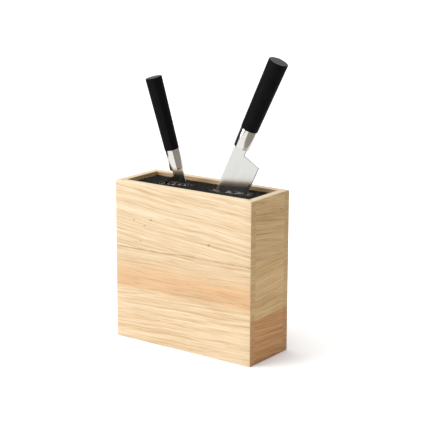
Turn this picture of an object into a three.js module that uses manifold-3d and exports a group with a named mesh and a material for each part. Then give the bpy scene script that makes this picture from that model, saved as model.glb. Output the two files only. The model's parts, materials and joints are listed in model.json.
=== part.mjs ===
// A knife block with two knives. The case is glued up from staves, a bristle insert drops into it, and two knives
// with ridged handles stand in the bristles. Millimetres, +Z up. The origin is the middle of the case's underside,
// +X runs along the front face to the right and +Y runs to the back.
import * as THREE from "three";
import { mergeVertices } from "three/addons/utils/BufferGeometryUtils.js";
import Module from "manifold-3d";

const wasm = await Module();
wasm.setup();

// Case
const caseWidth = 243;
const caseDepth = 96;
const caseHeight = 240;
const boardThickness = 12;
const baseThickness = 12;

// Heights of the glued seams between a board's staves, from the bottom
const frontSeams = [80, 142];
const backSeams = [72, 150];
const rightSeams = [66, 150];
const leftSeams = [78, 158];

// Dowels in the corner joints
const dowelRadius = 3;
const dowelLength = 30;
const dowelInFace = 8;
const dowelFromBottom = 36;
const dowelFromTop = 38;
const dowelClearance = 0.3;
const dowelChamfer = 0.8;

// Bristle insert
const insertClearance = 0.5;
const plateThickness = 5;
const bristleRecess = 5;
const bladeClearance = 0.5;
const bundleGap = 0.3;

// Large knife: a broad blade whose edge faces the right end of the case
const largeKnife = {
  name: "large",
  footX: 65.4,
  footFromBackWall: 27.6,
  footAboveBristles: 67.5,
  lean: 24.36,
  leanHeading: 7.1,
  edgeHeading: 7.1,
  pushIn: 35,
  thickness: 2,
  spine: 9.9,
  neck: 9.4,
  neckLength: 10.3,
  heelDrop: 15,
  heel: 37.2,
  bladeLength: 165,
  tip: 24,
  spineCurve: 58,
  bellyCurve: 70,
  tangWidth: 9,
  tangLength: 98,
  ferruleRadius: 12.4,
  ferruleLength: 29,
  handleRadius: 12.8,
  handleEndRadius: 14.4,
  handleLength: 136.7,
};

// Small knife: a narrow blade whose edge faces the left end of the case
const smallKnife = {
  name: "small",
  footX: -43.6,
  footFromBackWall: 36.5,
  footAboveBristles: 23.2,
  lean: 13.92,
  leanHeading: -138.8,
  edgeHeading: 195,
  pushIn: 8,
  thickness: 1.8,
  spine: 9,
  neck: 7.9,
  neckLength: 9.8,
  heelDrop: 14.9,
  heel: 24.9,
  bladeLength: 115,
  tip: 15,
  spineCurve: 40,
  bellyCurve: 45,
  tangWidth: 8,
  tangLength: 98,
  ferruleRadius: 10.3,
  ferruleLength: 30.2,
  handleRadius: 10.6,
  handleEndRadius: 12.2,
  handleLength: 139.3,
};

// Handles and ferrules
const ridgeReach = 1.09;
const ridgeTurn = 25;
const sectionSteps = 28;
const ferruleWall = 1.2;
const ferruleFace = 2;
const fitGap = 0.3;
const endRounding = 1.5;

// What the sizes above give
const innerWidth = caseWidth - 2 * boardThickness;
const innerDepth = caseDepth - 2 * boardThickness;
const bristleTop = caseHeight - bristleRecess;
const plateTop = baseThickness + plateThickness;
const reach = 2 * (caseWidth + caseDepth + caseHeight);

const wood = new THREE.MeshStandardMaterial({ color: 0xe3c08c, roughness: 0.6, metalness: 0 });
const dowelWood = new THREE.MeshStandardMaterial({ color: 0xcdaa78, roughness: 0.7, metalness: 0 });
const bristlePlastic = new THREE.MeshStandardMaterial({ color: 0x1c1c1e, roughness: 0.7, metalness: 0 });
const handlePlastic = new THREE.MeshStandardMaterial({ color: 0x161616, roughness: 0.6, metalness: 0 });
const bladeSteel = new THREE.MeshStandardMaterial({ color: 0xd6d8da, roughness: 0.3, metalness: 1 });
const ferruleSteel = new THREE.MeshStandardMaterial({ color: 0xc8c6c2, roughness: 0.2, metalness: 1 });

const part = new THREE.Group();

function addMesh(group, name, geometry, material) {
  const mesh = new THREE.Mesh(geometry, material);
  mesh.name = name;
  group.add(mesh);
  return mesh;
}

// A closed geometry as a solid that can be joined and cut
function solid(geometry) {
  const bare = geometry.index ? geometry.toNonIndexed() : geometry.clone();
  bare.deleteAttribute("normal");
  bare.deleteAttribute("uv");
  const merged = mergeVertices(bare, 1e-4);
  const vertProperties = merged.attributes.position.array;
  const triVerts = new Uint32Array(merged.index.array);
  return new wasm.Manifold(new wasm.Mesh({ numProp: 3, vertProperties, triVerts }));
}

function geometryOf(shape) {
  const mesh = shape.getMesh();
  const geometry = new THREE.BufferGeometry();
  geometry.setAttribute("position", new THREE.BufferAttribute(new Float32Array(mesh.vertProperties), 3));
  geometry.setIndex(Array.from(mesh.triVerts));
  const flat = geometry.toNonIndexed();
  flat.computeVertexNormals();
  return flat;
}

// A box from its lowest and highest corners
function block(low, high) {
  const size = high.map((value, i) => value - low[i]);
  const middle = high.map((value, i) => (value + low[i]) / 2);
  return new THREE.BoxGeometry(...size).translate(...middle);
}

// A round rod with chamfered ends, its axis along +Y from the origin
function rod(radius, length, chamfer) {
  const profile = [
    new THREE.Vector2(0, 0),
    new THREE.Vector2(radius - chamfer, 0),
    new THREE.Vector2(radius, chamfer),
    new THREE.Vector2(radius, length - chamfer),
    new THREE.Vector2(radius - chamfer, length),
    new THREE.Vector2(0, length),
  ];
  return new THREE.LatheGeometry(profile, 20);
}

// The places of the corner dowels: each lies along Y, part in a face board and part in an end board
function dowelPlaces() {
  const places = [];
  const acrossEnd = caseWidth / 2 - boardThickness / 2;
  const faceEnd = innerDepth / 2 + dowelInFace;
  for (const [side, x] of [["left", -acrossEnd], ["right", acrossEnd]]) {
    for (const [level, z] of [["low", dowelFromBottom], ["high", caseHeight - dowelFromTop]]) {
      places.push({ name: `dowel_front_${side}_${level}`, x, y: -faceEnd, z });
      places.push({ name: `dowel_back_${side}_${level}`, x, y: faceEnd - dowelLength, z });
    }
  }
  return places;
}

function dowelHole(place) {
  const hole = rod(dowelRadius + dowelClearance, dowelLength + 2 * dowelClearance, 0);
  return solid(hole.translate(place.x, place.y - dowelClearance, place.z));
}

// One board of the case, from its footprint, as staves glued edge to edge, with the dowel holes that reach it
function addBoard(name, low, high, seams, holes) {
  const levels = [0, ...seams, caseHeight];
  for (let i = 0; i + 1 < levels.length; i += 1) {
    let stave = solid(block([...low, levels[i]], [...high, levels[i + 1]]));
    for (const hole of holes) {
      stave = stave.subtract(hole);
    }
    addMesh(part, `${name}_stave_${i + 1}`, geometryOf(stave), wood);
  }
}

function addCase() {
  const x = caseWidth / 2;
  const y = caseDepth / 2;
  const endInner = innerWidth / 2;
  const faceInner = innerDepth / 2;
  const places = dowelPlaces();
  const holes = places.map(dowelHole);
  addBoard("front", [-x, -y], [x, -faceInner], frontSeams, holes);
  addBoard("back", [-x, faceInner], [x, y], backSeams, holes);
  addBoard("left", [-x, -faceInner], [-endInner, faceInner], leftSeams, holes);
  addBoard("right", [endInner, -faceInner], [x, faceInner], rightSeams, holes);
  const base = block([-endInner, -faceInner, 0], [endInner, faceInner, baseThickness]);
  addMesh(part, "base_board", base, wood);
  for (const place of places) {
    const dowel = rod(dowelRadius, dowelLength, dowelChamfer).translate(place.x, place.y, place.z);
    addMesh(part, place.name, dowel, dowelWood);
  }
}

function headingVector(degrees) {
  const angle = THREE.MathUtils.degToRad(degrees);
  return new THREE.Vector3(Math.cos(angle), Math.sin(angle), 0);
}

// A knife's own frame: +Z up the handle from the ferrule's lower face, +X towards the edge, +Y out of its right side
function knifeFrame(knife) {
  const lean = THREE.MathUtils.degToRad(knife.lean);
  const axis = headingVector(knife.leanHeading).multiplyScalar(Math.sin(lean));
  axis.z = Math.cos(lean);
  const edge = headingVector(knife.edgeHeading).projectOnPlane(axis).normalize();
  const right = new THREE.Vector3().crossVectors(axis, edge);
  const footY = innerDepth / 2 - knife.footFromBackWall;
  const footZ = bristleTop + knife.footAboveBristles;
  return new THREE.Matrix4().makeBasis(edge, right, axis).setPosition(knife.footX, footY, footZ);
}

// The blade and its tang in one outline, drawn in the plane of the edge (x) and the handle's axis (y)
function bladeOutline(knife) {
  const heelLevel = -knife.heelDrop;
  const tipLevel = heelLevel - knife.bladeLength;
  const shoulder = ferruleFace + fitGap;
  const halfTang = knife.tangWidth / 2;
  const outline = new THREE.Shape();
  outline.moveTo(-knife.spine, shoulder);
  outline.lineTo(-knife.spine, tipLevel + knife.spineCurve);
  outline.quadraticCurveTo(-knife.spine, tipLevel + knife.spineCurve * 0.3, knife.tip, tipLevel);
  outline.quadraticCurveTo(knife.heel - 1, tipLevel + knife.bellyCurve * 0.3, knife.heel - 0.5, tipLevel + knife.bellyCurve);
  outline.lineTo(knife.heel, heelLevel);
  outline.quadraticCurveTo(knife.neck + 4, heelLevel + 4, knife.neck, -knife.neckLength);
  outline.lineTo(knife.neck, shoulder);
  outline.lineTo(halfTang, shoulder);
  outline.lineTo(halfTang, knife.tangLength);
  outline.lineTo(-halfTang, knife.tangLength);
  outline.lineTo(-halfTang, shoulder);
  outline.closePath();
  return outline;
}

function bladeGeometry(knife) {
  const options = { depth: knife.thickness, bevelEnabled: false, curveSegments: 10 };
  const plate = new THREE.ExtrudeGeometry(bladeOutline(knife), options);
  return plate.translate(0, 0, -knife.thickness / 2).rotateX(Math.PI / 2);
}

// A round section with one ridge on the knife's right side, of the given radius
function ridgedSection(radius) {
  const ridge = THREE.MathUtils.degToRad(90 + ridgeTurn);
  const flank = Math.acos(1 / ridgeReach);
  const section = new THREE.Shape();
  section.moveTo(radius * ridgeReach * Math.cos(ridge), radius * ridgeReach * Math.sin(ridge));
  for (let i = 0; i <= sectionSteps; i += 1) {
    const angle = ridge + flank + ((2 * Math.PI - 2 * flank) * i) / sectionSteps;
    section.lineTo(radius * Math.cos(angle), radius * Math.sin(angle));
  }
  section.closePath();
  return section;
}

// The ridged section carried along +Z through stations of a height and a radius each
function ridgedLoft(stations) {
  const last = stations.length - 1;
  const options = { depth: last, steps: last, bevelEnabled: false };
  const geometry = new THREE.ExtrudeGeometry(ridgedSection(1), options);
  const position = geometry.attributes.position;
  for (let i = 0; i < position.count; i += 1) {
    const [height, radius] = stations[Math.round(position.getZ(i))];
    position.setXYZ(i, position.getX(i) * radius, position.getY(i) * radius, height);
  }
  return geometry;
}

// The slot that the neck and tang pass through, with its clearance
function neckSlot(knife, low, high) {
  const halfThickness = knife.thickness / 2 + fitGap;
  const lowCorner = [-knife.spine - fitGap, -halfThickness, low];
  return solid(block(lowCorner, [knife.neck + fitGap, halfThickness, high]));
}

// The ferrule is a cup: closed round the neck at the blade's end, open to the handle
function ferruleGeometry(knife) {
  const outside = [[0, knife.ferruleRadius], [knife.ferruleLength, knife.ferruleRadius]];
  const bore = knife.ferruleRadius - ferruleWall;
  const inside = [[ferruleFace, bore], [knife.ferruleLength + 1, bore]];
  const cup = solid(ridgedLoft(outside)).subtract(solid(ridgedLoft(inside)));
  return geometryOf(cup.subtract(neckSlot(knife, -1, ferruleFace + 1)));
}

// The handle has a spigot inside the ferrule and a blind slot for the tang
function handleGeometry(knife) {
  const spigotRadius = knife.ferruleRadius - ferruleWall - fitGap;
  const spigotStart = ferruleFace + 2 * fitGap;
  const gripStart = knife.ferruleLength + fitGap;
  const spigot = ridgedLoft([[spigotStart, spigotRadius], [gripStart + 1, spigotRadius]]);
  const lipLength = knife.handleLength - endRounding;
  const grip = ridgedLoft([
    [gripStart, knife.handleRadius - endRounding / 3],
    [gripStart + endRounding / 2, knife.handleRadius],
    [lipLength, knife.handleEndRadius],
    [knife.handleLength - 0.3 * endRounding, knife.handleEndRadius - 0.3 * endRounding],
    [knife.handleLength, knife.handleEndRadius - endRounding],
  ]);
  const halfTang = knife.tangWidth / 2 + fitGap;
  const halfThickness = knife.thickness / 2 + fitGap;
  const slotLow = [-halfTang, -halfThickness, 0];
  const slotHigh = [halfTang, halfThickness, knife.tangLength + fitGap];
  return geometryOf(solid(spigot).add(solid(grip)).subtract(solid(block(slotLow, slotHigh))));
}

function addKnife(knife) {
  const group = new THREE.Group();
  group.applyMatrix4(knifeFrame(knife));
  addMesh(group, `${knife.name}_blade`, bladeGeometry(knife), bladeSteel);
  addMesh(group, `${knife.name}_ferrule`, ferruleGeometry(knife), ferruleSteel);
  addMesh(group, `${knife.name}_handle`, handleGeometry(knife), handlePlastic);
  part.add(group);
}

// A box in a knife's own frame, as a solid in the part's frame
function knifeBlock(knife, low, high) {
  return solid(block(low, high).applyMatrix4(knifeFrame(knife)));
}

// All the space on one side of a blade, clear of it
function besideBlade(knife, side) {
  const near = knife.thickness / 2 + bladeClearance;
  const low = [-reach, side > 0 ? near : -reach, -reach];
  const high = [reach, side > 0 ? reach : -near, reach];
  return knifeBlock(knife, low, high);
}

// The bristles that stand in a blade's own plane: past its spine, past its edge, and below its lowest reach
function bladeRows(knife) {
  const half = knife.thickness / 2 + bladeClearance - bundleGap;
  const spine = -knife.spine - bladeClearance;
  const edge = knife.heel + bladeClearance;
  const tip = -knife.heelDrop - knife.bladeLength - knife.pushIn - bladeClearance;
  return {
    spine_row: knifeBlock(knife, [-reach, -half, -reach], [spine, half, reach]),
    edge_row: knifeBlock(knife, [edge, -half, -reach], [reach, half, reach]),
    tip_row: knifeBlock(knife, [spine + bundleGap, -half, -reach], [edge - bundleGap, half, tip]),
  };
}

// The insert: a plate with the bristles standing on it, in bundles that part along the two blades
function addInsert() {
  const x = innerWidth / 2 - insertClearance;
  const y = innerDepth / 2 - insertClearance;
  addMesh(part, "bristle_plate", block([-x, -y, baseThickness], [x, y, plateTop]), bristlePlastic);
  const field = solid(block([-x, -y, plateTop], [x, y, bristleTop]));
  const behindLarge = field.intersect(besideBlade(largeKnife, 1));
  const bundles = {
    bristles_front: field.intersect(besideBlade(largeKnife, -1)),
    bristles_middle: behindLarge.intersect(besideBlade(smallKnife, 1)),
    bristles_rear: behindLarge.intersect(besideBlade(smallKnife, -1)),
  };
  for (const [knife, parted] of [[largeKnife, field], [smallKnife, behindLarge]]) {
    for (const [row, space] of Object.entries(bladeRows(knife))) {
      bundles[`bristles_${knife.name}_${row}`] = parted.intersect(space);
    }
  }
  for (const [name, bundle] of Object.entries(bundles)) {
    addMesh(part, name, geometryOf(bundle), bristlePlastic);
  }
}

addCase();
addInsert();
addKnife(largeKnife);
addKnife(smallKnife);

export default part;
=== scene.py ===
import json
import math
from itertools import pairwise

import bmesh
import bpy
from mathutils import Matrix, Vector


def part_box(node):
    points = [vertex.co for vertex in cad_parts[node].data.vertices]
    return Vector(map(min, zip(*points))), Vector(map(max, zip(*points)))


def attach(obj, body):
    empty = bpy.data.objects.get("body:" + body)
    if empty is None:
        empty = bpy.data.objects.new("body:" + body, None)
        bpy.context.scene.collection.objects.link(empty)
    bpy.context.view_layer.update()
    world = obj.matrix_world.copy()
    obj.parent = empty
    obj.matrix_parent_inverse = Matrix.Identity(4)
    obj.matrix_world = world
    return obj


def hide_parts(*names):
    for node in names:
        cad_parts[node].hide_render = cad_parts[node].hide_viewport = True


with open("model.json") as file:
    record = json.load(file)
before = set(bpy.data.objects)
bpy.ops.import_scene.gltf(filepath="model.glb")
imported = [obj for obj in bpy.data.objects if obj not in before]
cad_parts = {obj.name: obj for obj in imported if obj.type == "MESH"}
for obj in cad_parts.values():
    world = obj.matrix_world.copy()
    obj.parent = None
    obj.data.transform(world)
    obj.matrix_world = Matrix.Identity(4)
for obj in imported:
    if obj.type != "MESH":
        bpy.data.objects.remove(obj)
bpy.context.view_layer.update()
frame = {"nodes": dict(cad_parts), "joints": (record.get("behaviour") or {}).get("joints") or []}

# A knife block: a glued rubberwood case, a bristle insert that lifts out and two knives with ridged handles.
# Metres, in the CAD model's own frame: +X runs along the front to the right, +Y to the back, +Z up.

MM = 0.001
TOUCH = 0.01 * MM

# Case
CASE_HEIGHT = 240 * MM
OUTER_EASE = 1.3 * MM
RIM_EASE = 0.7 * MM
BASE_EASE = 0.4 * MM
EASE_STEPS = 3
FLAT_FACE = 0.999

# Wood
LOW_SEAM = 80 * MM
HIGH_SEAM = 143 * MM
SEAM_SLOPE = 0.014
SEAM_CORE = 0.3 * MM
SEAM_REACH = 1.6 * MM
GRAIN_WANDER = 14 * MM
KNOT_SQUEEZE = 0.55
BLUSH_FADE = 4 * MM
BLUSH_FULL = 98 * MM
BLUSH_TOP = 138 * MM
BLUSH_TINT = (0.95, 0.74, 0.58, 1)
PORE_TINT = (0.68, 0.54, 0.4, 1)
SEAM_TINT = (0.62, 0.5, 0.36, 1)
KNOT_TINT = (0.5, 0.38, 0.22, 1)
RING_TINT = (0.76, 0.7, 0.62, 1)

# Bristles
ROD_RADIUS = 0.95 * MM
ROD_PITCH = 2.2 * MM
ROD_SIDES = 6
ROD_LENGTHS = 7
TIP_HEIGHT = 0.5 * MM
TIP_SHARE = 0.55
TOP_JITTER = 0.35 * MM
BASE_JITTER_SHARE = 0.6
HEIGHT_JITTER = 0.6 * MM
PARTING = 2.5 * MM
PARTING_REACH = 14 * MM
ROD_CLEARANCE = 2.2 * MM
LEAN_REACH = 30 * MM
WINDOW_FADE = 9 * MM
BLADE_MARGIN = 1 * MM
TIP_FADE_LOW = 40 * MM
TIP_FADE_HIGH = 5 * MM
# how far from a blade the rod tips get painted glints
PAINTED_GLINT_REACH = 9 * MM
BRISTLE_SEED = 11

# Blades: the spine and edge shares are of the half thickness, and the grind's start is a share of the way
# from the ferrule to the heel
SPINE_EASE = 0.25 * MM
SPINE_CHAMFER = 1.3 * MM
SPINE_SHARE = 0.58
SPINE_SHOULDER_SHARE = 0.74
EDGE_BEVEL = 0.9 * MM
EDGE_HALF = 0.05 * MM
BEHIND_EDGE_SHARE = 0.28
EASE_DROP_SHARE = 0.8
GRIND_START = 0.55
GRIND_POWER = 1.3
GRIND_DROP = 6 * MM
TIP_TAPER = 0.7
TIP_BLUNTING = 0.15 * MM
BLADE_COLUMNS = 10
LEVEL_STEP = 4 * MM
LEVEL_NUDGE = 0.02 * MM

# Handles and ferrules
SECTION_STEPS = 96
RIDGE_FLANK = math.radians(23.4)
RIDGE_TURN = math.radians(115)
RIDGE_ROUNDING = math.radians(2.5)
FERRULE_WALL = 1.2 * MM
FERRULE_EASE = 0.35 * MM
FERRULE_LIP_EASE = 0.21 * MM
FERRULE_FLOOR = 2 * MM
SPIGOT_CLEARANCE = 0.3 * MM
HANDLE_END_EASE = 1.3 * MM
HANDLE_FRONT_EASE = 0.5 * MM
HANDLE_END_BAND = 1.6 * MM
HANDLE_FRONT_BAND = 1.2 * MM
HANDLE_STEPS = 12

# Camera and light
CAMERA_PLACE = Vector((1.18203, -1.59927, 0.68231))
CAMERA_YAW = math.radians(36.03)
CAMERA_PITCH = math.radians(13.635)
CAMERA_ROLL = math.radians(0.188)
CAMERA_LENS = 119.62
CAMERA_SENSOR = 36
WORLD_STRENGTH = 0.42
FLOOR_REACH = 12

scene = bpy.context.scene
scene.view_settings.view_transform = "Standard"
scene.view_settings.look = "None"


# ---------------------------------------------------------------- node trees

class Value:
    """A socket of a node tree. Arithmetic on it adds Math nodes, in shaders and in geometry alike."""

    def __init__(self, tree, socket):
        self.tree = tree
        self.socket = socket

    def math(self, operation, *others):
        return self.tree.add("ShaderNodeMath", {"operation": operation}, dict(enumerate((self, *others))))

    def __add__(self, other):
        return self.math("ADD", other)

    __radd__ = __add__

    def __sub__(self, other):
        return self.math("SUBTRACT", other)

    def __rsub__(self, other):
        return self.tree.number(other).math("SUBTRACT", self)

    def __mul__(self, other):
        return self.math("MULTIPLY", other)

    __rmul__ = __mul__

    def __truediv__(self, other):
        return self.math("DIVIDE", other)

    def __abs__(self):
        return self.math("ABSOLUTE")

    def at_least(self, other):
        return self.math("MAXIMUM", other)

    def at_most(self, other):
        return self.math("MINIMUM", other)


class Tree:
    """A shader or geometry node tree, with one method that adds any node."""

    def __init__(self, node_tree):
        self.node_tree = node_tree

    def add(self, kind, settings=None, inputs=None, output=0):
        node = self.node_tree.nodes.new(kind)
        for name, setting in (settings or {}).items():
            if name == "stops":
                self.set_stops(node.color_ramp, setting)
            else:
                setattr(node, name, setting)
        for key, value in (inputs or {}).items():
            if isinstance(value, Value):
                self.node_tree.links.new(value.socket, node.inputs[key])
            else:
                node.inputs[key].default_value = value
        return Value(self, node.outputs[output]) if node.outputs else None

    @staticmethod
    def set_stops(ramp, stops):
        while len(ramp.elements) < len(stops):
            ramp.elements.new(1)
        for element, (place, colour) in zip(ramp.elements, stops):
            element.position = place
            element.color = (*colour, 1)

    def number(self, value):
        return self.add("ShaderNodeMath", {"operation": "ADD"}, {0: value, 1: 0.0})

    def vector(self, operation, first, second, output=0):
        return self.add("ShaderNodeVectorMath", {"operation": operation}, {0: first, 1: second}, output)

    def dot(self, first, second):
        return self.vector("DOT_PRODUCT", first, second, "Value")

    def combine(self, x, y, z):
        return self.add("ShaderNodeCombineXYZ", inputs={0: x, 1: y, 2: z})

    def axes(self, vector):
        split = self.add("ShaderNodeSeparateXYZ", inputs={0: vector})
        return [Value(self, socket) for socket in split.socket.node.outputs]

    def scaled(self, vector, factor):
        return self.vector("MULTIPLY", vector, factor)

    def noise(self, place, scale=1.0, detail=3.0, roughness=0.55):
        values = {"Vector": place, "Scale": scale, "Detail": detail, "Roughness": roughness}
        return self.add("ShaderNodeTexNoise", inputs=values)

    def ramp(self, factor, *stops):
        return self.add("ShaderNodeValToRGB", {"stops": stops}, {0: factor})

    def smooth(self, value, low, high, start=0.0, end=1.0):
        """From start to end as the value goes from low to high, eased at both ends."""
        sizes = {"Value": value, 1: low, 2: high, 3: start, 4: end}
        return self.add("ShaderNodeMapRange", {"interpolation_type": "SMOOTHSTEP"}, sizes)

    def mix(self, factor, first, second, blend="MIX"):
        """Two colours mixed; the node's colour sockets are its inputs 6 and 7 and its output 2."""
        settings = {"data_type": "RGBA", "blend_type": blend}
        return self.add("ShaderNodeMix", settings, {0: factor, 6: first, 7: second}, 2)


def colour(red, green, blue):
    """A colour given as it looks on a screen, from 0 to 255, as the linear values that a node holds."""
    return tuple(((c / 255 + 0.055) / 1.055) ** 2.4 if c > 10 else c / 3294.6 for c in (red, green, blue))


def rgba(red, green, blue):
    return (*colour(red, green, blue), 1)


def finish_material(name, make):
    """A new material whose tree make() builds: it gets the tree and the object's own coordinates."""
    material = bpy.data.materials.new(name)
    material.use_nodes = True
    material.node_tree.nodes.clear()
    tree = Tree(material.node_tree)
    place = tree.add("ShaderNodeTexCoord", output="Object")
    shader = make(tree, place)
    tree.add("ShaderNodeOutputMaterial", inputs={0: shader})
    return material


def principled(tree, **sockets):
    """A Principled shader, whose sockets are given with underscores for the spaces in their names."""
    names = {name.replace("_", " "): value for name, value in sockets.items()}
    return tree.add("ShaderNodeBsdfPrincipled", inputs=names)


def bump(tree, height, strength, distance):
    return tree.add("ShaderNodeBump", inputs={"Height": height, "Strength": strength, "Distance": distance})


# ---------------------------------------------------------------- finishes

# end-grain colours by height, as a share of the case's height
END_TONES = (
    (0.27, colour(181, 132, 84)),
    (0.29, colour(192, 160, 112)),
    (0.62, colour(192, 160, 112)),
    (0.64, colour(186, 156, 110)),
)


def knot_mark(tree, along, height, knot):
    """1 in the middle of a small knot and 0 outside it. A knot is given by its place along the grain, its
    height and its radius, and is longer along the grain than it is high."""
    middle_along, middle_height, radius = knot
    sideways = (along - middle_along) * KNOT_SQUEEZE
    upwards = height - middle_height
    return tree.smooth(sideways * sideways + upwards * upwards, radius * radius, 0.0)


def blushed(tree, paint, height, streaky, blush):
    """The paint with an orange band above the lowest seam, as strong as blush and broken by streaks."""
    above_seam = tree.smooth(height, LOW_SEAM - BLUSH_FADE, LOW_SEAM + BLUSH_FADE)
    inside = above_seam * tree.smooth(height, BLUSH_TOP, BLUSH_FULL)
    broken = tree.smooth(streaky, 0.42, 0.6, 0.35, 1.35)
    return tree.mix(inside * broken * blush, paint, BLUSH_TINT, "MULTIPLY")


def seamed(tree, paint, along, off):
    """The paint with a broken dark line where off, the height from the seam, is nothing."""
    gaps = tree.noise(tree.combine(along * 30, 0.0, 0.0), detail=2)
    line = tree.smooth(abs(off), SEAM_REACH, SEAM_CORE) * tree.smooth(gaps, 0.3, 0.6, 0.35, 1.0)
    return tree.mix(line * 0.7, paint, SEAM_TINT, "MULTIPLY")


def end_grain_paint(tree, along, across, height):
    """The colour of sawn ends: tones that change with height, and faint rings."""
    rings = tree.noise(tree.combine(along * 20, across * 12, height * 420), detail=3)
    tone = tree.ramp(height / CASE_HEIGHT, *END_TONES)
    return tree.mix(tree.smooth(rings, 0.6, 0.4) * 0.7, tone, RING_TINT, "MULTIPLY")


def stave_wood(name, grain_axis, tones, slope=0.0, offset=0.0, blush=0.0, seam=None, knots=()):
    """Sanded rubberwood: streaks and pores along the grain, faint growth bands, end grain and a painted
    highlight on the top faces.

    tones are the dark, middle and light colours, slope tilts the grain and offset moves the pattern.
    blush is the strength of an orange band above the lowest seam, and seam the height of a dark wavy line.
    """
    dark, middle_tone, light = tones

    def make(tree, place):
        x, y, z = tree.axes(place)
        true_along, across = (x, y) if grain_axis == "X" else (y, x)
        along = true_along + offset
        wander = tree.noise(tree.combine(along * 5, across * 14, z * 22), detail=2) - 0.5
        height = z + true_along * slope + wander * GRAIN_WANDER
        broad = tree.noise(tree.combine(along * 3.5, across * 16, height * 30), detail=2)
        bands = tree.noise(tree.combine(along * 3, across * 90, height * 125), detail=3, roughness=0.6)
        streaks = tree.noise(tree.combine(along * 8, across * 400, height * 440), detail=3, roughness=0.55)
        fibres = tree.noise(tree.combine(along * 22, across * 1000, height * 1050), detail=2)
        pores = tree.noise(tree.combine(along * 30, across * 560, height * 740), detail=1)
        tone = broad * 0.12 + bands * 0.24 + streaks * 0.34 + fibres * 0.3
        paint = tree.ramp(tone, (0.4, dark), (0.5, middle_tone), (0.6, light))
        if blush:
            paint = blushed(tree, paint, height, bands * 0.4 + streaks * 0.6, blush)
        pore = tree.smooth(pores, 0.62, 0.74)
        paint = tree.mix(pore * 0.55, paint, PORE_TINT, "MULTIPLY")
        if seam:
            paint = seamed(tree, paint, along, z - seam - true_along * SEAM_SLOPE + wander * 0.012)
        for knot in knots:
            mark = knot_mark(tree, true_along, z, knot)
            paint = tree.mix(mark * 0.75, paint, KNOT_TINT, "MULTIPLY")
        normal = tree.add("ShaderNodeNewGeometry", output="Normal")
        end_grain = abs(tree.dot(normal, (1, 0, 0) if grain_axis == "X" else (0, 1, 0)))
        end_paint = end_grain_paint(tree, true_along, across, z)
        paint = tree.mix(tree.smooth(end_grain, 0.6, 0.95) * 0.9, paint, end_paint)
        # painted highlight: upward faces near the top are painted paler, standing in for the light from
        # above
        near_top = tree.smooth(z, CASE_HEIGHT - 40 * MM, CASE_HEIGHT - 5 * MM)
        painted_shading = tree.smooth(tree.dot(normal, (0, 0, 1)), 0.6, 0.97) * near_top
        paint = tree.mix(painted_shading * (0.65 + streaks * 0.4), paint, rgba(207, 191, 163))
        relief = bump(tree, streaks * 0.5 + fibres * 0.3 - pore * 0.8, 0.25, 0.2 * MM)
        rough = 0.5 + streaks * 0.16
        return principled(tree, Base_Color=paint, Roughness=rough, Normal=relief, Specular_IOR_Level=0.3)

    return finish_material(name, make)


def rod_plastic():
    """Black plastic rods: each a little lighter or darker, with pale tips near the blades as painted glints.
    """
    def make(tree, place):
        shade = tree.add("ShaderNodeAttribute", {"attribute_name": "rod_shade"}, output="Fac")
        scuff = tree.add("ShaderNodeAttribute", {"attribute_name": "scuff"}, output="Fac")
        glint_breakup = tree.noise(tree.scaled(place, (900, 900, 900)), detail=2)
        black = tree.mix(shade * shade, rgba(6, 5, 5), rgba(60, 54, 48))
        # painted glint: picked tips near a blade are painted pale, standing in for light caught on them
        paint = tree.mix(scuff * tree.smooth(glint_breakup, 0.3, 0.5), black, rgba(226, 222, 218))
        rough = 0.42 + shade * 0.2
        return principled(tree, Base_Color=paint, Roughness=rough, Specular_IOR_Level=0.12)
    return finish_material("rod_plastic", make)


def plate_plastic():
    def make(tree, place):
        fine = tree.noise(tree.scaled(place, (700, 700, 700)), detail=3)
        paint = tree.mix(fine, rgba(22, 22, 24), rgba(38, 38, 40))
        relief = bump(tree, fine, 0.3, 0.2 * MM)
        return principled(tree, Base_Color=paint, Roughness=0.5, Normal=relief, Specular_IOR_Level=0.3)
    return finish_material("plate_plastic", make)


def handle_plastic(knife):
    """Matt black moulded plastic with a fine grain, and a painted grey highlight on the flat end."""
    def make(tree, place):
        grain = tree.noise(tree.scaled(place, (1500, 1500, 1500)), detail=2)
        mottle = tree.noise(tree.scaled(place, (160, 160, 160)), detail=3)
        paint = tree.mix(mottle, rgba(7, 7, 8), rgba(19, 18, 19))
        normal = tree.add("ShaderNodeNewGeometry", output="Normal")
        # painted highlight: the flat end is painted grey, standing in for the light from above on its satin
        # face
        end = tree.smooth(tree.dot(normal, knife.axis), 0.93, 0.99)
        paint = tree.mix(end * (0.7 + mottle * 0.6), paint, rgba(80, 80, 81))
        rough = 0.5 + grain * 0.16
        relief = bump(tree, grain * 0.6 + mottle * 0.4, 0.25, 0.15 * MM)
        return principled(tree, Base_Color=paint, Roughness=rough, Normal=relief, Specular_IOR_Level=0.05)
    return finish_material(f"{knife.name}_handle_plastic", make)


def blade_steel(knife):
    """Satin steel with fine lines that run down the blade, and a painted dark reflection where its surface
    turns to the edge.
    """
    def make(tree, place):
        edge, side, axis = knife.coordinates(tree, place)
        lines = tree.noise(tree.combine(edge * 2600, side * 300, axis * 26), detail=3)
        cloud = tree.noise(tree.combine(edge * 60, side * 60, axis * 30), detail=3)
        satin = tree.noise(tree.combine(edge * 420, side * 60, axis * 9), detail=3)
        paint = tree.mix(cloud * 0.3 + lines * 0.3 + satin * 0.4, rgba(170, 170, 168), rgba(216, 215, 212))
        normal = tree.add("ShaderNodeNewGeometry", output="Normal")
        # painted reflection: faces turned to the edge are painted dark, standing in for a dark reflection,
        # and made rougher
        painted_shading = tree.smooth(tree.dot(normal, knife.edge), 0.08, 0.22)
        paint = tree.mix(painted_shading * 0.9, paint, rgba(48, 48, 48))
        rough = 0.12 + lines * 0.07 + cloud * 0.05 + painted_shading * 0.35
        relief = bump(tree, lines, 0.1, 0.04 * MM)
        return principled(tree, Base_Color=paint, Metallic=1.0, Roughness=rough, Normal=relief)
    return finish_material(f"{knife.name}_blade_steel", make)


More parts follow.
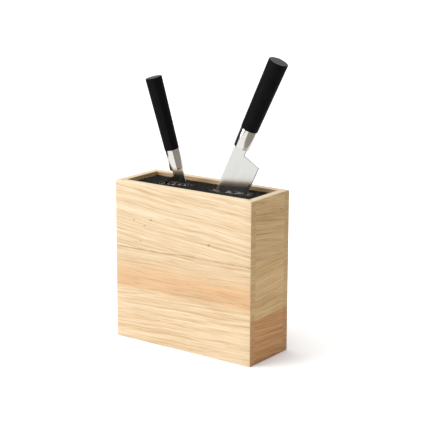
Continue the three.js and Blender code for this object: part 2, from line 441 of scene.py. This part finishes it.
def ferrule_steel(knife):
    """Polished steel with faint turning lines round the ferrule."""
    def make(tree, place):
        edge, side, axis = knife.coordinates(tree, place)
        lines = tree.noise(tree.combine(edge * 60, side * 60, axis * 2400), detail=2)
        cloud = tree.noise(tree.scaled(place, (220, 220, 220)), detail=2)
        paint = tree.mix(cloud, rgba(196, 194, 190), rgba(212, 210, 206))
        rough = 0.1 + lines * 0.06 + cloud * 0.04
        relief = bump(tree, lines, 0.06, 0.04 * MM)
        return principled(tree, Base_Color=paint, Metallic=1.0, Roughness=rough, Normal=relief)
    return finish_material(f"{knife.name}_ferrule_steel", make)


def dowel_beech():
    def make(tree, place):
        x, y, z = tree.axes(place)
        grain = tree.noise(tree.combine(x * 900, y * 30, z * 900), detail=3)
        paint = tree.mix(grain, rgba(176, 138, 92), rgba(214, 180, 132))
        return principled(tree, Base_Color=paint, Roughness=0.7)
    return finish_material("dowel_beech", make)


# ---------------------------------------------------------------- meshes

def add_piece(name, mesh, body, replaced, material):
    """Shows a finished mesh as a piece that rides on a body and stands for CAD nodes."""
    piece = bpy.data.objects.new(name, mesh)
    scene.collection.objects.link(piece)
    if material:
        mesh.materials.clear()
        mesh.materials.append(material)
    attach(piece, body)
    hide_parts(*replaced)
    return piece


def skin(name, rings, smooth_angle):
    """A closed mesh through rings of points, with a flat cap at each end, its faces pointing out."""
    mesh = bmesh.new()
    loops = [[mesh.verts.new(point) for point in ring] for ring in rings]
    for lower, upper in pairwise(loops):
        for i in range(len(lower)):
            j = (i + 1) % len(lower)
            mesh.faces.new((lower[i], lower[j], upper[j], upper[i])).smooth = True
    mesh.faces.new(loops[0][::-1])
    mesh.faces.new(loops[-1])
    bmesh.ops.recalc_face_normals(mesh, faces=mesh.faces)
    data = bpy.data.meshes.new(name)
    mesh.to_mesh(data)
    mesh.free()
    data.set_sharp_from_angle(angle=math.radians(smooth_angle))
    return data


def touches(first, second):
    return math.isclose(first, second, abs_tol=TOUCH)


class Case:
    """The planes of the case's outside and inside, measured from its boards."""

    def __init__(self):
        self.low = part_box("front_stave_1")[0]
        self.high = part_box("back_stave_3")[1]
        self.inner_low = Vector((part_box("left_stave_1")[1].x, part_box("front_stave_1")[1].y))
        self.inner_high = Vector((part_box("right_stave_1")[0].x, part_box("back_stave_1")[0].y))

    def outer_planes(self, point):
        """How many of the case's outer planes a point lies on."""
        return sum(touches(point[i], end[i]) for end in (self.low, self.high) for i in range(3))

    def on_inner_rim(self, point):
        if not touches(point.z, self.high.z):
            return False
        inside = [self.inner_low[i] - TOUCH < point[i] < self.inner_high[i] + TOUCH for i in range(2)]
        walls = [wall[i] for wall in (self.inner_low, self.inner_high) for i in range(2)]
        on_wall = [touches(point[i % 2], wall) for i, wall in enumerate(walls)]
        return all(inside) and any(on_wall)


def middle(edge):
    return (edge.verts[0].co + edge.verts[1].co) / 2


def eased_block(name, low, high, cuts, eases):
    """A box, cut across at the given places along X, with its edges rounded where an ease picks them."""
    mesh = bmesh.new()
    size = high - low
    place = Matrix.Translation((low + high) / 2) @ Matrix.Diagonal((*size, 1))
    bmesh.ops.create_cube(mesh, size=1, matrix=place)
    for x in cuts:
        parts = [*mesh.verts, *mesh.edges, *mesh.faces]
        bmesh.ops.bisect_plane(mesh, geom=parts, plane_co=(x, 0, 0), plane_no=(1, 0, 0))
    for picks, radius in eases:
        edges = [edge for edge in mesh.edges if picks(middle(edge))]
        bmesh.ops.bevel(mesh, geom=edges, offset=radius, segments=EASE_STEPS, profile=0.5, affect="EDGES")
    for face in mesh.faces:
        face.smooth = max(abs(part) for part in face.normal) < FLAT_FACE
    data = bpy.data.meshes.new(name)
    mesh.to_mesh(data)
    mesh.free()
    data.set_sharp_from_angle(angle=math.radians(40))
    return data


def add_stave(case, node, material):
    low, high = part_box(node)
    full_width = low.x < case.inner_low.x and high.x > case.inner_high.x
    cuts = (case.inner_low.x, case.inner_high.x) if full_width else ()
    eases = [
        (lambda point: case.outer_planes(point) >= 2, OUTER_EASE),
        (case.on_inner_rim, RIM_EASE),
    ]
    mesh = eased_block(node, low, high, cuts, eases)
    add_piece(f"{node}_sanded", mesh, "case", [node], material)


def add_base_board(material):
    low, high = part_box("base_board")
    mesh = eased_block("base_board", low, high, (), [(lambda point: True, BASE_EASE)])
    add_piece("base_board_sanded", mesh, "case", ["base_board"], material)


# ---------------------------------------------------------------- knives

class Knife:
    """A knife's own frame, measured from its CAD pieces: +Z up the handle from the ferrule's lower face,
    +X towards the edge, +Y out of its right side."""

    def __init__(self, name):
        self.name = name
        self.body = f"{name}_knife"
        joint = next(j for j in frame["joints"] if j["child"] == self.body)
        self.push_in = -joint["range_m"][0]
        self.axis = Vector(joint["axis"]).normalized()
        blade = frame["nodes"][f"{name}_blade"].data
        self.side = max(blade.polygons, key=lambda face: face.area).normal.copy()
        self.side = (self.side - self.side.dot(self.axis) * self.axis).normalized()
        self.edge = self.side.cross(self.axis)
        ferrule = [v.co for v in frame["nodes"][f"{name}_ferrule"].data.vertices]
        middle_edge = self.span(ferrule, self.edge)
        reach = self.span([v.co for v in blade.vertices], self.edge)
        if reach[1] - middle_edge[1] < middle_edge[0] - reach[0]:
            self.side = -self.side
            self.edge = -self.edge
            middle_edge = self.span(ferrule, self.edge)
        self.ferrule_radius = (middle_edge[1] - middle_edge[0]) / 2
        foot_side = self.span(ferrule, self.side)[0] + self.ferrule_radius
        levels = self.span(ferrule, self.axis)
        self.ferrule_length = levels[1] - levels[0]
        foot_edge = sum(middle_edge) / 2
        self.foot = foot_edge * self.edge + foot_side * self.side + levels[0] * self.axis
        columns = Matrix((self.edge, self.side, self.axis)).transposed().to_4x4()
        self.frame = Matrix.Translation(self.foot) @ columns
        self.half_thickness = self.local_span("blade", 1)[1]

    @staticmethod
    def span(points, direction):
        along = [point.dot(direction) for point in points]
        return min(along), max(along)

    def local(self, piece):
        inverse = self.frame.inverted()
        return [inverse @ v.co for v in frame["nodes"][f"{self.name}_{piece}"].data.vertices]

    def local_span(self, piece, i):
        along = [point[i] for point in self.local(piece)]
        return min(along), max(along)

    def coordinates(self, tree, place):
        """The place's coordinates in the knife's frame, as values of a node tree."""
        from_foot = tree.vector("SUBTRACT", place, self.foot)
        return [tree.dot(from_foot, direction) for direction in (self.edge, self.side, self.axis)]

    def outline(self):
        """The CAD blade's outline as (edge, axis) points."""
        mesh = bmesh.new()
        mesh.from_mesh(frame["nodes"][f"{self.name}_blade"].data)
        mesh.transform(self.frame.inverted())
        bmesh.ops.remove_doubles(mesh, verts=mesh.verts, dist=1e-6)
        bmesh.ops.dissolve_limit(mesh, angle_limit=math.radians(0.5), verts=mesh.verts, edges=mesh.edges)
        face = max(mesh.faces, key=lambda f: f.calc_area())
        points = [(v.co.x, v.co.z) for v in face.verts]
        mesh.free()
        return points


def width_at(outline, level):
    """The least and greatest edge coordinate of an outline at a level."""
    crossings = []
    for (x0, z0), (x1, z1) in pairwise([*outline, outline[0]]):
        if min(z0, z1) <= level <= max(z0, z1) and not math.isclose(z0, z1, abs_tol=1e-7):
            crossings.append(x0 + (x1 - x0) * (level - z0) / (z1 - z0))
    return min(crossings), max(crossings)


def blade_levels(outline):
    """Levels from tip to tang at which the outline is sampled: every corner, and steps between them."""
    corners = sorted({round(z, 6) for _, z in outline})
    levels = [corners[0] + TIP_BLUNTING]
    for low, high in pairwise(corners):
        steps = max(1, math.ceil((high - low) / LEVEL_STEP))
        for i in range(steps + 1):
            level = min(max(low + (high - low) * i / steps, low + LEVEL_NUDGE), high - LEVEL_NUDGE)
            if level > levels[-1] + LEVEL_NUDGE / 2:
                levels.append(level)
    return levels


def ease_in(value, low, high):
    share = min(max((value - low) / (high - low), 0), 1)
    return share * share * (3 - 2 * share)


def add_blade(knife, material):
    """The blade, ground from spine to edge; the grind runs out in the neck, and the tang is left thick."""
    outline = knife.outline()
    heel, heel_level = max(outline)
    tip_level = min(z for _, z in outline)
    spine = min(x for x, _ in outline)
    full = knife.half_thickness
    neck_level = heel_level * GRIND_START

    def half_thickness(x, z):
        taper = 1 - (1 - TIP_TAPER) * ease_in(z, heel_level, tip_level)
        wedge = 1 - (1 - BEHIND_EDGE_SHARE) * min(max((x - spine) / (heel - spine), 0), 1) ** GRIND_POWER
        ground = ease_in(z, neck_level, heel_level - GRIND_DROP)
        return full * taper * (1 + (wedge - 1) * ground)

    rings = []
    for level in blade_levels(outline):
        left, right = width_at(outline, level)
        cutting = level < heel_level - TOUCH
        quarter = (right - left) / 4
        ease = min(SPINE_EASE, quarter)
        first = left + min(SPINE_CHAMFER, quarter)
        last = right - min(EDGE_BEVEL if cutting else SPINE_EASE, quarter)
        inner = [first + (last - first) * i / BLADE_COLUMNS for i in range(BLADE_COLUMNS + 1)]
        face = [(x, half_thickness(x, level)) for x in inner]
        half_here = face[0][1]
        spine_edge = [(left, half_here * SPINE_SHARE), (left + ease, half_here * SPINE_SHOULDER_SHARE)]
        edge_half = EDGE_HALF if cutting else face[-1][1] - ease * EASE_DROP_SHARE
        columns = [*spine_edge, *face, (right, edge_half)]
        right_face = [(x, half, level) for x, half in columns]
        left_face = [(x, -half, level) for x, half in columns[::-1]]
        rings.append([knife.frame @ Vector(point) for point in right_face + left_face])
    mesh = skin(f"{knife.name}_blade_ground", rings, smooth_angle=14)
    add_piece(mesh.name, mesh, knife.body, [f"{knife.name}_blade"], material)


def ridged_section(radius):
    """A round section with one rounded ridge on the knife's right side, as (edge, side) points."""
    points = []
    for i in range(SECTION_STEPS):
        turn = 2 * math.pi * i / SECTION_STEPS
        from_ridge = abs((turn + math.pi) % (2 * math.pi) - math.pi)
        off = math.hypot(from_ridge, RIDGE_ROUNDING)
        reach = radius / math.cos(max(RIDGE_FLANK - off, 0))
        points.append((reach * math.cos(RIDGE_TURN + turn), reach * math.sin(RIDGE_TURN + turn)))
    return points


def ridged_rings(knife, stations):
    """Rings round the knife's axis, one for each station, which is a level and a radius."""
    rings = []
    for level, radius in stations:
        rings.append([knife.frame @ Vector((x, y, level)) for x, y in ridged_section(radius)])
    return rings


def rounded(level, radius, ease, up, steps):
    """Stations of a rounded end at a level: from the full radius to the flat face if it looks up, and
    from the flat face to the full radius if it looks down."""
    arc = [math.pi / 2 * i / steps for i in range(steps + 1)]
    if up:
        return [(level - ease + ease * math.sin(a), radius - ease + ease * math.cos(a)) for a in arc]
    return [(level + ease - ease * math.cos(a), radius - ease + ease * math.sin(a)) for a in arc]


def add_ferrule(knife, material):
    """A steel cup, closed round the neck and open to the handle."""
    length = knife.ferrule_length
    radius = knife.ferrule_radius
    bore = radius - FERRULE_WALL
    stations = [
        *rounded(0, radius, FERRULE_EASE, up=False, steps=5),
        *rounded(length, radius, FERRULE_LIP_EASE, up=True, steps=3),
        (length, bore),
        (FERRULE_FLOOR, bore),
    ]
    mesh = skin(f"{knife.name}_ferrule_polished", ridged_rings(knife, stations), smooth_angle=35)
    add_piece(mesh.name, mesh, knife.body, [f"{knife.name}_ferrule"], material)


def add_handle(knife, material):
    """The handle with its spigot inside the ferrule; it swells towards its end, whose lip is rounded."""
    start, end = knife.local_span("handle", 2)
    grip = [point for point in knife.local("handle") if point.z > knife.ferrule_length]
    grip_start = min(point.z for point in grip)
    end_radius = max(point.x for point in grip if point.z > end - HANDLE_END_BAND)
    front_radius = max(point.x for point in grip if point.z < grip_start + HANDLE_FRONT_BAND)
    spigot = knife.ferrule_radius - FERRULE_WALL - SPIGOT_CLEARANCE
    stations = [
        (start, spigot),
        (grip_start, spigot),
        *rounded(grip_start, front_radius, HANDLE_FRONT_EASE, up=False, steps=4),
    ]
    first_level = stations[-1][0]
    last_level = end - HANDLE_END_EASE
    for i in range(1, HANDLE_STEPS):
        share = i / HANDLE_STEPS
        level = first_level + (last_level - first_level) * share
        stations.append((level, front_radius + (end_radius - front_radius) * share))
    stations += rounded(end, end_radius, HANDLE_END_EASE, up=True, steps=6)
    mesh = skin(f"{knife.name}_handle_moulded", ridged_rings(knife, stations), smooth_angle=35)
    add_piece(mesh.name, mesh, knife.body, [f"{knife.name}_handle"], material)


# ---------------------------------------------------------------- bristles

class Blade:
    """What the bristles part round: a blade's plane, its width and the lowest level that it reaches."""

    def __init__(self, knife):
        self.knife = knife
        self.low, self.high = knife.local_span("blade", 0)
        self.level_part = math.hypot(knife.side.x, knife.side.y)
        self.away = Vector((knife.side.x / self.level_part, knife.side.y / self.level_part, 0))
        self.slope = knife.side.z / self.level_part
        tip = knife.local_span("blade", 2)[0] - knife.push_in
        self.deepest = (knife.foot + tip * knife.axis).z

    def side_at(self, tree, point):
        """How far a point stands out of the blade's right side, measured level."""
        from_foot = tree.vector("SUBTRACT", point, self.knife.foot)
        return tree.dot(from_foot, self.knife.side) / self.level_part

    def window(self, tree, point):
        """1 where the blade passes in its travel, fading out past its spine, its edge and its tip."""
        from_foot = tree.vector("SUBTRACT", point, self.knife.foot)
        across = tree.dot(from_foot, self.knife.edge)
        past_spine = tree.smooth(across, self.low - BLADE_MARGIN - WINDOW_FADE, self.low - BLADE_MARGIN)
        past_edge = tree.smooth(across, self.high + BLADE_MARGIN + WINDOW_FADE, self.high + BLADE_MARGIN)
        height = tree.axes(point)[2]
        below_tip = tree.smooth(height, self.deepest - TIP_FADE_LOW, self.deepest - TIP_FADE_HIGH)
        return past_spine * past_edge * below_tip

    def shift(self, tree, rod_top, point, top):
        """How far a rod moves level from the blade's plane, to lean with the blade and stand clear of it."""
        beside = self.side_at(tree, rod_top)
        far = abs(beside)
        depth = top - tree.axes(point)[2]
        lean = depth * self.slope * tree.smooth(far, LEAN_REACH, 0.0)
        sign = beside.math("SIGN")
        clear = sign * (1 - far / PARTING_REACH).at_least(0.0) * PARTING
        return (lean + clear) * self.window(tree, point)

    def shortfall(self, tree, rod_top, point, move):
        """How much further a moved rod has to go, away from the blade, to stand clear of it."""
        sign = self.side_at(tree, rod_top).math("SIGN")
        beside = self.side_at(tree, tree.vector("ADD", point, move))
        return sign * (ROD_CLEARANCE - sign * beside).at_least(0.0) * self.window(tree, point)


def store(tree, geometry, name, value, data_type):
    """The geometry with a value kept on each of its points, under a name."""
    settings = {"data_type": data_type, "domain": "POINT"}
    inputs = {0: geometry, "Name": name, "Value": value}
    return tree.add("GeometryNodeStoreNamedAttribute", settings, inputs)


def read(tree, name, data_type):
    return tree.add("GeometryNodeInputNamedAttribute", {"data_type": data_type}, {"Name": name})


def field_inputs(tree, group):
    """Gives the bristle field's tree its named inputs, and returns their values by name."""
    kinds = dict.fromkeys(("Width", "Depth", "Bottom", "Top", "Pitch", "Rod Radius"), "NodeSocketFloat")
    kinds |= dict.fromkeys(("Bundle", "Seed"), "NodeSocketInt")
    for name, kind in kinds.items():
        group.interface.new_socket(name, in_out="INPUT", socket_type=kind)
    entry = group.nodes.new("NodeGroupInput")
    return {name: Value(tree, entry.outputs[name]) for name in kinds}


def staggered_places(tree, size):
    """A place on the plate for each rod, in rows that are as close as the pitch lets them be."""
    pitch = size["Pitch"]
    diameter = size["Rod Radius"] * 2
    span_x = size["Width"] - pitch / 2 - diameter
    span_y = size["Depth"] - diameter
    gaps_x = (span_x / pitch).math("FLOOR")
    gaps_y = (span_y / (pitch * math.sqrt(0.75))).math("FLOOR")
    grid = {"Size X": span_x, "Size Y": span_y, "Vertices X": gaps_x + 1, "Vertices Y": gaps_y + 1}
    places = tree.add("GeometryNodeMeshGrid", inputs=grid)
    x, y, _ = tree.axes(tree.add("GeometryNodeInputPosition"))
    row = ((y + span_y / 2) / (span_y / gaps_y)).math("ROUND")
    stagger = (row.math("MODULO", 2.0) - 0.5) * pitch / 2
    position = tree.combine(x + stagger, y, size["Bottom"])
    return tree.add("GeometryNodeSetPosition", inputs={0: places, "Position": position})


def marked_places(tree, places, size):
    """Each place keeps where its rod's tip belongs, how the rod strays and how light it is."""
    def random(low, high, draw):
        inputs = {2: low, 3: high, "Seed": size["Seed"] + draw}
        return tree.add("FunctionNodeRandomValue", {"data_type": "FLOAT"}, inputs, 1)

    x, y, _ = tree.axes(tree.add("GeometryNodeInputPosition"))
    jitter = tree.combine(random(-1.0, 1.0, 1), random(-1.0, 1.0, 2), random(-1.0, 0.0, 3))
    places = store(tree, places, "rod_top", tree.combine(x, y, size["Top"]), "FLOAT_VECTOR")
    places = store(tree, places, "rod_jitter", jitter, "FLOAT_VECTOR")
    return store(tree, places, "rod_shade", random(0.0, 1.0, 4), "FLOAT")


def bundle_places(tree, places, size, blades):
    """The places of one bundle: 0 in front of the large blade, 1 between the two, 2 behind the small one."""
    large, small = blades
    rod_top = read(tree, "rod_top", "FLOAT_VECTOR")
    behind_large = large.side_at(tree, rod_top).math("GREATER_THAN", 0.0)
    behind_small = small.side_at(tree, rod_top).math("LESS_THAN", 0.0)
    other = abs(behind_large + behind_small - size["Bundle"]).math("GREATER_THAN", 0.5)
    return tree.add("GeometryNodeDeleteGeometry", {"domain": "POINT"}, {0: places, 1: other})


def blunt_rod(tree, size):
    """One rod with a blunt tip, standing on the origin."""
    length = size["Top"] - size["Bottom"] - TIP_HEIGHT
    sizes = {"Vertices": ROD_SIDES, "Side Segments": ROD_LENGTHS}
    sizes |= {"Radius": size["Rod Radius"], "Depth": length}
    rod = tree.add("GeometryNodeMeshCylinder", {"fill_type": "NGON"}, sizes)
    upper = Value(tree, rod.socket.node.outputs["Top"])
    raise_by = {0: rod, "Selection": upper, "Offset Scale": TIP_HEIGHT}
    raised = tree.add("GeometryNodeExtrudeMesh", {"mode": "FACES"}, raise_by)
    tip = Value(tree, raised.socket.node.outputs["Top"])
    shrink_to = {0: raised, "Selection": tip, "Scale": TIP_SHARE}
    rod = tree.add("GeometryNodeScaleElements", {"domain": "FACE"}, shrink_to)
    lift = tree.combine(0.0, 0.0, length / 2)
    return tree.add("GeometryNodeTransform", inputs={0: rod, "Translation": lift})


def parted(tree, rods, size, blades):
    """The rods moved clear of the blades and kept inside the case, with painted glints on their tips near a
    blade.
    """
    point = tree.add("GeometryNodeInputPosition")
    rod_top = read(tree, "rod_top", "FLOAT_VECTOR")
    share = (tree.axes(point)[2] - size["Bottom"]) / (size["Top"] - size["Bottom"])
    wobble_x, wobble_y, wobble_z = tree.axes(read(tree, "rod_jitter", "FLOAT_VECTOR"))
    loose = (BASE_JITTER_SHARE + share * share * (1 - BASE_JITTER_SHARE)) * TOP_JITTER
    move_x, move_y = wobble_x * loose, wobble_y * loose
    scuff = 0.0
    for blade in blades:
        shift = blade.shift(tree, rod_top, point, size["Top"])
        move_x = move_x + shift * blade.away.x
        move_y = move_y + shift * blade.away.y
        # painted glint: marks rod tips near a blade to be painted pale
        near = tree.smooth(abs(blade.side_at(tree, rod_top)), PAINTED_GLINT_REACH, 0.0)
        scuff = near * blade.window(tree, rod_top) + scuff
    # what one blade asks for can push a rod into the other's way, so both are looked at again
    for blade in reversed(blades):
        short = blade.shortfall(tree, rod_top, point, tree.combine(move_x, move_y, 0.0))
        move_x = move_x + short * blade.away.x
        move_y = move_y + short * blade.away.y
    top_x, top_y, _ = tree.axes(rod_top)
    room_x = size["Width"] / 2 - size["Rod Radius"]
    room_y = size["Depth"] / 2 - size["Rod Radius"]
    new_x = (top_x + move_x).at_most(room_x).at_least(room_x * -1)
    new_y = (top_y + move_y).at_most(room_y).at_least(room_y * -1)
    offset = tree.combine(new_x - top_x, new_y - top_y, share * wobble_z * HEIGHT_JITTER)
    picked = tree.smooth(read(tree, "rod_shade", "FLOAT"), 0.5, 0.9)
    rods = store(tree, rods, "scuff", scuff * picked * tree.smooth(share, 0.97, 1.0), "FLOAT")
    return tree.add("GeometryNodeSetPosition", inputs={0: rods, "Offset": offset})


def bristle_tree(blades, material):
    """A field of rods on a staggered grid: one bundle of it, parted round the blades."""
    group = bpy.data.node_groups.new("bristle_field", "GeometryNodeTree")
    tree = Tree(group)
    size = field_inputs(tree, group)
    group.interface.new_socket("Rods", in_out="OUTPUT", socket_type="NodeSocketGeometry")
    places = marked_places(tree, staggered_places(tree, size), size)
    places = bundle_places(tree, places, size, blades)
    rods = {0: places, "Instance": blunt_rod(tree, size)}
    rods = tree.add("GeometryNodeInstanceOnPoints", inputs=rods)
    rods = tree.add("GeometryNodeRealizeInstances", inputs={0: rods})
    rods = parted(tree, rods, size, blades)
    rods = tree.add("GeometryNodeSetMaterial", inputs={0: rods, "Material": material})
    tree.add("NodeGroupOutput", inputs={0: rods})
    return group


def made_by(group, name, inputs):
    """The plain mesh that a geometry tree makes with the given inputs."""
    empty = bpy.data.meshes.new(f"{name}_host")
    host = bpy.data.objects.new(empty.name, empty)
    scene.collection.objects.link(host)
    modifier = host.modifiers.new("make", "NODES")
    modifier.node_group = group
    for item in group.interface.items_tree:
        if item.in_out == "INPUT" and item.name in inputs:
            modifier[item.identifier] = inputs[item.name]
    made = host.evaluated_get(bpy.context.evaluated_depsgraph_get())
    mesh = bpy.data.meshes.new_from_object(made)
    bpy.data.objects.remove(host)
    mesh.name = name
    mesh.shade_smooth()
    mesh.set_sharp_from_angle(angle=math.radians(35))
    return mesh


def add_bristles(knives):
    plate_low, plate_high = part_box("bristle_plate")
    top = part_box("bristles_front")[1].z
    group = bristle_tree([Blade(knife) for knife in knives], rod_plastic())
    bundles = {
        "front": ["front", "large_spine_row", "large_edge_row", "large_tip_row"],
        "middle": ["middle"],
        "rear": ["rear", "small_spine_row", "small_edge_row", "small_tip_row"],
    }
    for i, (name, nodes) in enumerate(bundles.items()):
        inputs = {
            "Width": plate_high.x - plate_low.x,
            "Depth": plate_high.y - plate_low.y,
            "Bottom": plate_high.z,
            "Top": top,
            "Pitch": ROD_PITCH,
            "Rod Radius": ROD_RADIUS,
            "Bundle": i,
            "Seed": BRISTLE_SEED,
        }
        mesh = made_by(group, f"bristle_rods_{name}", inputs)
        replaced = [f"bristles_{node}" for node in nodes]
        add_piece(mesh.name, mesh, "insert", replaced, None)
    bpy.data.node_groups.remove(group)


# ---------------------------------------------------------------- the object

def wood_finishes():
    """One finish for each stave, as no two staves of a board are alike; some tones also carry painted light
    and shade.
    """
    # tan, amber and russet, the side boards' tones, are darker than the front's partly as painted shade;
    # cream, on the lowest front stave, is paler partly as painted light against the dimmer light near the
    # floor
    shades = {
        "cream": (colour(188, 156, 116), colour(209, 185, 151), colour(220, 202, 174)),
        "pale": (colour(184, 153, 114), colour(205, 181, 147), colour(216, 198, 170)),
        "peach": (colour(172, 136, 98), colour(194, 162, 124), colour(208, 182, 148)),
        "tan": (colour(166, 134, 89), colour(188, 157, 111), colour(202, 174, 130)),
        "amber": (colour(174, 138, 90), colour(196, 162, 113), colour(209, 180, 134)),
        "russet": (colour(158, 108, 62), colour(183, 133, 82), colour(198, 154, 104)),
    }

    def finish(grain_axis, shade, slope, offset, **marks):
        return {"grain_axis": grain_axis, "tones": shades[shade], "slope": slope, "offset": offset, **marks}

    front_knots = [
        (0.049, 0.167, 0.0022),
        (-0.055, 0.188, 0.0017),
        (-0.067, 0.178, 0.0014),
        (-0.087, 0.184, 0.0014),
        (-0.075, 0.154, 0.0012),
    ]
    return {
        "front_stave_1": finish("X", "cream", -0.05, 0.0),
        "front_stave_2": finish("X", "pale", 0.0, 1.3, blush=0.9, seam=HIGH_SEAM),
        "front_stave_3": finish("X", "pale", 0.08, 2.9, seam=HIGH_SEAM, knots=front_knots),
        "back_stave_1": finish("X", "peach", -0.03, 4.1),
        "back_stave_2": finish("X", "pale", 0.02, 5.3),
        "back_stave_3": finish("X", "peach", 0.04, 6.7),
        "left_stave_1": finish("Y", "russet", 0.03, 7.9),
        "left_stave_2": finish("Y", "amber", -0.04, 8.3),
        "left_stave_3": finish("Y", "tan", 0.05, 9.1),
        "right_stave_1": finish("Y", "russet", 0.06, 10.7),
        "right_stave_2": finish("Y", "amber", -0.05, 11.9),
        "right_stave_3": finish("Y", "tan", 0.12, 12.7, knots=[(0.027, 0.216, 0.0014)]),
        "base_board": finish("X", "tan", 0.0, 14.3),
    }


def add_case():
    case = Case()
    for node, settings in wood_finishes().items():
        material = stave_wood(f"{node}_wood", **settings)
        if node == "base_board":
            add_base_board(material)
        else:
            add_stave(case, node, material)
    beech = dowel_beech()
    for node, piece in frame["nodes"].items():
        if node.startswith("dowel_"):
            set_material(piece, beech)


def set_material(piece, material):
    piece.data.materials.clear()
    piece.data.materials.append(material)


def add_insert(knives):
    plate = frame["nodes"]["bristle_plate"]
    set_material(plate, plate_plastic())
    add_bristles(knives)


def add_knife(knife):
    add_blade(knife, blade_steel(knife))
    add_ferrule(knife, ferrule_steel(knife))
    add_handle(knife, handle_plastic(knife))


# ---------------------------------------------------------------- studio

def floor_paper():
    def make(tree, place):
        return principled(tree, Base_Color=(0.9, 0.9, 0.9, 1), Roughness=0.9, Specular_IOR_Level=0.1)
    return finish_material("floor_paper", make)


def card_finish(name, shade):
    """A finish that gives off a shade of its own and mirrors nothing."""
    def make(tree, place):
        glow = {"Emission_Color": (*shade, 1), "Emission_Strength": 1.0}
        return principled(tree, Base_Color=(0, 0, 0, 1), Roughness=1.0, Specular_IOR_Level=0.0, **glow)
    return finish_material(name, make)


def add_sheet(name, centre, across, rise, material):
    """A flat sheet with four corners, given by its centre and half of its width and of its height."""
    mesh = bpy.data.meshes.new(name)
    corners = [
        centre - across - rise,
        centre + across - rise,
        centre + across + rise,
        centre - across + rise,
    ]
    mesh.from_pydata(corners, [], [(0, 1, 2, 3)])
    mesh.materials.append(material)
    sheet = bpy.data.objects.new(name, mesh)
    scene.collection.objects.link(sheet)
    return sheet


def add_floor():
    across = Vector((FLOOR_REACH, 0, 0))
    back = Vector((0, FLOOR_REACH, 0))
    floor = add_sheet("floor", Vector((0, 0, 0)), across, back, floor_paper())


def add_sun(name, turn, rise, strength, spread):
    """A distant softbox, turned to the left of the front, risen above the floor and spread over an angle."""
    light = bpy.data.lights.new(name, "SUN")
    light.energy = strength
    light.angle = math.radians(spread)
    turn, rise = math.radians(turn), math.radians(rise)
    towards = Vector((-math.sin(turn) * math.cos(rise), -math.cos(turn) * math.cos(rise), math.sin(rise)))
    sun = bpy.data.objects.new(name, light)
    sun.rotation_euler = towards.to_track_quat("Z", "Y").to_euler()
    scene.collection.objects.link(sun)


def add_card(name, azimuth, width, height, middle_height, distance, shade):
    """A card that only shows in polished metal, standing round the object at an azimuth from the front."""
    turn = math.radians(azimuth)
    centre = Vector((math.sin(turn) * distance, -math.cos(turn) * distance, middle_height))
    across = Vector((math.cos(turn), math.sin(turn), 0)) * width / 2
    rise = Vector((0, 0, height / 2))
    card = add_sheet(name, centre, across, rise, card_finish(name, shade))
    card.visible_camera = False
    card.visible_diffuse = False
    card.visible_shadow = False
    card.visible_transmission = False


def add_studio():
    world = bpy.data.worlds.new("studio")
    world.use_nodes = True
    background = world.node_tree.nodes["Background"]
    background.inputs["Color"].default_value = (1, 1, 1, 1)
    background.inputs["Strength"].default_value = WORLD_STRENGTH
    scene.world = world
    add_sun("overhead", turn=60, rise=77, strength=2.9, spread=62)
    add_sun("front_left", turn=40, rise=22, strength=1.9, spread=40)
    left = {"azimuth": 286, "width": 0.75, "height": 0.9, "middle_height": 0.4, "distance": 0.8}
    right = {"azimuth": 90, "width": 0.9, "height": 0.7, "middle_height": 0.35, "distance": 0.31}
    add_card("left_flag", **left, shade=(0.02, 0.02, 0.02))
    add_card("right_flag", **right, shade=(0.42, 0.38, 0.33))
    add_floor()


def add_camera():
    """The camera stands at the right of the front and looks a little down."""
    camera = bpy.data.cameras.new("camera")
    camera.lens = CAMERA_LENS
    camera.sensor_width = CAMERA_SENSOR
    holder = bpy.data.objects.new("camera", camera)
    yaw = Matrix.Rotation(CAMERA_YAW, 4, "Z")
    pitch = Matrix.Rotation(math.pi / 2 - CAMERA_PITCH, 4, "X")
    turned = yaw @ pitch @ Matrix.Rotation(CAMERA_ROLL, 4, "Z")
    holder.matrix_world = Matrix.Translation(CAMERA_PLACE) @ turned
    scene.collection.objects.link(holder)
    scene.camera = holder


add_camera()
add_studio()
add_case()
knives = [Knife("large"), Knife("small")]
add_insert(knives)
for knife in knives:
    add_knife(knife)
